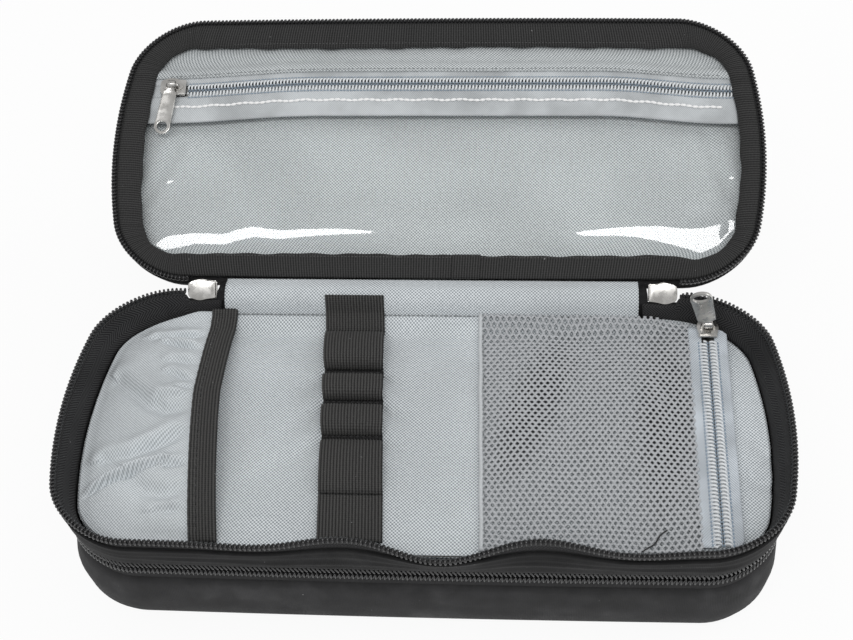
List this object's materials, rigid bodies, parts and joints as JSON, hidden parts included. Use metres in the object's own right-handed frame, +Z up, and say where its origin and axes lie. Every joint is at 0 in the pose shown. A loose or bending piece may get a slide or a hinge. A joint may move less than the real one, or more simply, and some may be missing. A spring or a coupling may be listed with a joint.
{
  "type": "glucose meter case",
  "caption": "Soft padded zip case lying open: a deep tub, a hinged tray with elastic loops, net and gathered pockets, and a lid with a clear zipped pocket.",
  "frame": {"origin": "centre of the tub's flat bottom, where the case stands", "axes": "+Z up, +X along the case to the viewer's right, -Y to the front, so the hinge and the open lid are at +Y"},
  "size_m": [0.2194, 0.1988, 0.0873],
  "materials": {
    "shell_fabric": "black padded fabric, matt",
    "black_tape": "black woven tape, matt",
    "black_coil": "black nylon coil, satin",
    "elastic": "black ribbed elastic",
    "grey_lining": "light grey woven lining",
    "net": "grey knitted net",
    "grey_tape": "grey woven zip tape",
    "pale_coil": "pale grey nylon coil, satin",
    "clear_film": "clear flexible film, glossy",
    "stiffener": "thin stiffener board, hidden",
    "felt": "light stiff felt, hidden",
    "nickel": "nickel-plated, satin"
  },
  "bodies": {
    "lower_case": {"lower_shell": "shell_fabric", "bottom_board": "stiffener", "lower_lining": "grey_lining", "lower_zip_tape_lower": "black_tape", "lower_zip_coil_lower": "black_coil", "lower_zip_slider": "nickel", "lower_hinge_strip": "black_tape"},
    "lower_pull": {"lower_zip_pull": "nickel"},
    "tray": {"tray_band": "shell_fabric", "lower_zip_tape_upper": "black_tape", "lower_zip_coil_upper": "black_coil", "main_zip_tape_base": "black_tape", "main_zip_coil_base": "black_coil", "tray_underside_lining": "grey_lining", "tray_board": "stiffener", "tray_floor_pad": "grey_lining", "elastic_pocket_panel": "grey_lining", "elastic_pocket_binding": "elastic", "elastic_loop_band": "elastic", "mesh_panel": "net", "mesh_zip_tape_left": "grey_tape", "mesh_zip_tape_right": "grey_tape", "mesh_zip_coil_left": "pale_coil", "mesh_zip_coil_right": "pale_coil", "main_zip_slider_left": "nickel", "main_zip_slider_right": "nickel", "hinge_lining": "grey_lining", "lid_hinge_strip": "black_tape"},
    "main_pull_left": {"main_zip_pull_left": "nickel"},
    "main_pull_right": {"main_zip_pull_right": "nickel"},
    "mesh_slider": {"mesh_zip_slider": "nickel"},
    "mesh_pull": {"mesh_zip_pull": "nickel"},
    "lid": {"lid_shell": "shell_fabric", "lid_board": "felt", "lid_lining": "grey_lining", "lid_binding": "black_tape", "main_zip_tape_lid": "black_tape", "main_zip_coil_lid": "black_coil", "pvc_window": "clear_film", "pocket_top_strip": "grey_lining", "pvc_zip_tape_upper": "grey_tape", "pvc_zip_tape_lower": "grey_tape", "pvc_zip_coil_upper": "pale_coil", "pvc_zip_coil_lower": "pale_coil"},
    "pvc_slider": {"pvc_zip_slider": "nickel"},
    "pvc_pull": {"pvc_zip_pull": "nickel"}
  },
  "joints": [
    {"name": "tray_hinge", "type": "hinge", "parent": "lower_case", "child": "tray", "pos_m": [0, 0.0485, 0.03], "axis": [-1, 0, 0], "range_deg": [0, 90], "deforming": ["lower_hinge_strip"]},
    {"name": "lid_hinge", "type": "hinge", "parent": "tray", "child": "lid", "pos_m": [0, 0.0508, 0.0504], "axis": [1, 0, 0], "range_deg": [-10, 157.3], "deforming": ["hinge_lining", "lid_hinge_strip"]},
    {"name": "pvc_slide", "type": "slide", "parent": "lid", "child": "pvc_slider", "axis": [1, 0, 0], "range_m": [0, 0.163]},
    {"name": "pvc_pull_swing", "type": "hinge", "parent": "pvc_slider", "child": "pvc_pull", "pos_m": [-0.09146, 0.11954, 0.07731], "axis": [-1, 0, 0], "range_deg": [0, 188]},
    {"name": "mesh_slide", "type": "slide", "parent": "tray", "child": "mesh_slider", "axis": [-0.022, -0.9998, 0], "range_m": [0, 0.063]},
    {"name": "mesh_pull_swing", "type": "hinge", "parent": "mesh_slider", "child": "mesh_pull", "pos_m": [0.08825, 0.03877, 0.04695], "axis": [1, 0, 0], "range_deg": [-20, 80]},
    {"name": "main_pull_left_swing", "type": "hinge", "parent": "tray", "child": "main_pull_left", "pos_m": [-0.0745, 0.05277, 0.04603], "axis": [1, 0, 0], "range_deg": [-8, 15]},
    {"name": "main_pull_right_swing", "type": "hinge", "parent": "tray", "child": "main_pull_right", "pos_m": [0.0745, 0.05277, 0.04603], "axis": [1, 0, 0], "range_deg": [-8, 15]},
    {"name": "lower_pull_swing", "type": "hinge", "parent": "lower_case", "child": "lower_pull", "pos_m": [0.0565, 0.04904, 0.0338], "axis": [1, 0, 0], "range_deg": [-8, 15]}
  ],
  "couplings": [
    {"joint": "mesh_pull_swing", "follows": "lid_hinge", "ratio": 0.5}
  ]
}
